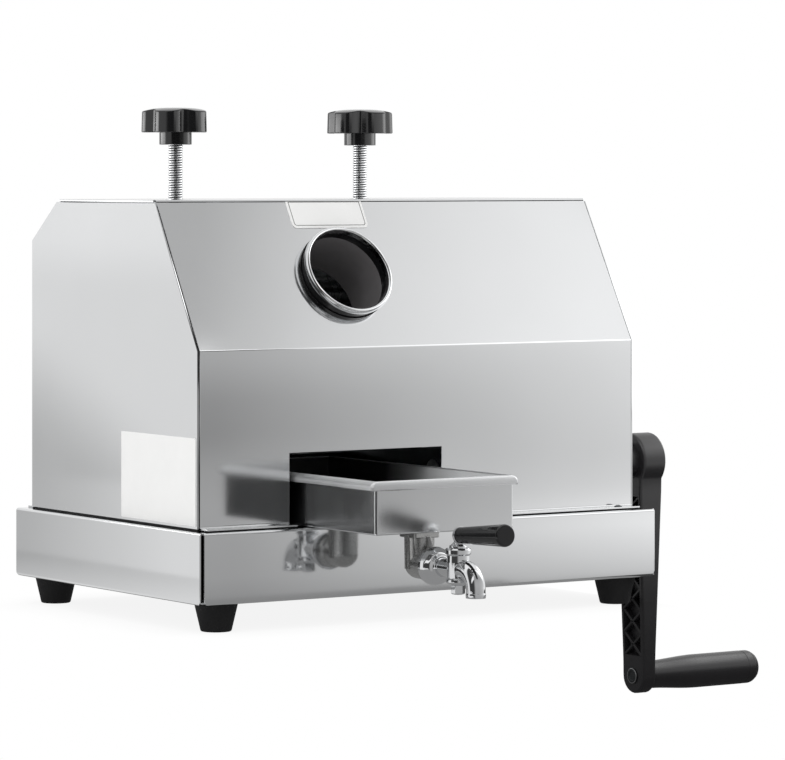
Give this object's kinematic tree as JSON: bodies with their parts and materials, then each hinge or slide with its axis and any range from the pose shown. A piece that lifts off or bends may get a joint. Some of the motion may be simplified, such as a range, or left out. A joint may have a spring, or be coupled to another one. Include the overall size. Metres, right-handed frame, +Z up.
{
  "type": "manual sugarcane juicer",
  "caption": "Hand cranked sugarcane juicer: sheet metal housing on a footed base, feed ring, sliding juice tray with a tap, pressure knobs, and geared rollers inside.",
  "frame": {"origin": "middle of the base, on the surface that the four feet stand on", "axes": "+X to the right, seen from the front, towards the crank; -Y towards the front, where the tray and tap are; +Z up"},
  "size_m": [0.6691, 0.5504, 0.5685],
  "materials": {
    "polished_stainless": "polished stainless sheet with a soft mirror",
    "satin_steel": "satin turned steel",
    "dark_steel": "oiled dark machined steel",
    "frame_steel": "machined plate steel",
    "bronze": "turned bearing bronze",
    "cast_stainless": "satin cast stainless",
    "tap_chrome": "bright chrome plating",
    "foot_rubber": "matte black rubber",
    "black_plastic": "moulded black plastic, satin",
    "label_film": "bare printed film without any print"
  },
  "bodies": {
    "housing": {"base_pan": "polished_stainless", "base_bottom_plate": "satin_steel", "foot_front_left": "foot_rubber", "foot_front_right": "foot_rubber", "foot_rear_left": "foot_rubber", "foot_rear_right": "foot_rubber", "left_side_panel": "polished_stainless", "right_side_panel": "polished_stainless", "front_panel": "polished_stainless", "rear_panel": "polished_stainless", "top_cover": "polished_stainless", "front_panel_screw": "satin_steel", "side_label": "label_film", "feed_ring": "polished_stainless", "feed_chute": "satin_steel", "front_label": "label_film", "left_frame_plate": "frame_steel", "right_frame_plate": "frame_steel", "front_tie_bar": "satin_steel", "rear_tie_bar": "satin_steel", "left_bridge": "frame_steel", "right_bridge": "frame_steel", "bridge_bolt_front_left": "dark_steel", "bridge_bolt_front_right": "dark_steel", "bridge_bolt_rear_left": "dark_steel", "bridge_bolt_rear_right": "dark_steel", "roller_bush_front_left": "bronze", "roller_bush_front_right": "bronze", "roller_bush_rear_left": "bronze", "roller_bush_rear_right": "bronze", "gear_plate": "frame_steel", "crank_pedestal": "frame_steel", "turn_plate": "satin_steel", "juice_guide": "polished_stainless", "residue_chute": "polished_stainless"},
    "crank": {"crank_shaft": "satin_steel", "pinion_gear": "dark_steel", "crank_arm": "black_plastic", "crank_bolt": "dark_steel", "grip_pin": "satin_steel"},
    "grip": {"crank_grip": "black_plastic"},
    "front_roller": {"bottom_front_roller": "satin_steel", "bottom_front_gear": "dark_steel", "drive_gear": "dark_steel"},
    "rear_roller": {"bottom_rear_roller": "satin_steel", "bottom_rear_gear": "dark_steel"},
    "carriage": {"left_bearing_block": "bronze", "right_bearing_block": "bronze"},
    "upper_roller": {"top_roller": "satin_steel", "top_roller_gear": "dark_steel"},
    "left_screw": {"left_pressure_screw": "satin_steel", "left_knob": "black_plastic"},
    "right_screw": {"right_pressure_screw": "satin_steel", "right_knob": "black_plastic"},
    "tray": {"juice_tray": "polished_stainless", "outlet_elbow": "cast_stainless", "tap_body": "tap_chrome"},
    "lever": {"tap_lever": "tap_chrome", "tap_lever_grip": "black_plastic", "tap_lever_nut": "dark_steel"}
  },
  "joints": [
    {"name": "crank_turn", "type": "hinge", "parent": "housing", "child": "crank", "pos_m": [0.2, -0.12083, 0.134], "axis": [1, 0, 0], "continuous": true},
    {"name": "grip_spin", "type": "hinge", "parent": "crank", "child": "grip", "pos_m": [0.35, -0.12083, -0.076], "axis": [1, 0, 0], "continuous": true},
    {"name": "front_roller_turn", "type": "hinge", "parent": "housing", "child": "front_roller", "pos_m": [-0.064, -0.0305, 0.213], "axis": [1, 0, 0], "continuous": true},
    {"name": "rear_roller_turn", "type": "hinge", "parent": "housing", "child": "rear_roller", "pos_m": [-0.064, 0.0655, 0.213], "axis": [1, 0, 0], "continuous": true},
    {"name": "carriage_lift", "type": "slide", "parent": "housing", "child": "carriage", "axis": [0, 0, 1], "range_m": [0, 0.005]},
    {"name": "top_roller_turn", "type": "hinge", "parent": "carriage", "child": "upper_roller", "pos_m": [-0.064, 0.0175, 0.28193], "axis": [1, 0, 0], "continuous": true},
    {"name": "left_screw_turn", "type": "hinge", "parent": "carriage", "child": "left_screw", "pos_m": [-0.168, 0.0175, 0.4], "axis": [0, 0, 1], "range_deg": [0, 900]},
    {"name": "right_screw_turn", "type": "hinge", "parent": "carriage", "child": "right_screw", "pos_m": [0.04, 0.0175, 0.4], "axis": [0, 0, 1], "range_deg": [0, 900]},
    {"name": "tray_slide", "type": "slide", "parent": "housing", "child": "tray", "axis": [0, -1, 0], "range_m": [-0.03, 0.13]},
    {"name": "tap_lever_turn", "type": "hinge", "parent": "tray", "child": "lever", "pos_m": [-0.0625, -0.3, 0.08], "axis": [0, 0, 1], "range_deg": [0, 90]}
  ],
  "couplings": [
    {"joint": "front_roller_turn", "follows": "crank_turn", "ratio": -0.25},
    {"joint": "top_roller_turn", "follows": "crank_turn", "ratio": 0.25},
    {"joint": "rear_roller_turn", "follows": "crank_turn", "ratio": -0.25},
    {"joint": "left_screw_turn", "follows": "carriage_lift", "rad_per_m": 3141.6},
    {"joint": "right_screw_turn", "follows": "carriage_lift", "rad_per_m": 3141.6}
  ]
}
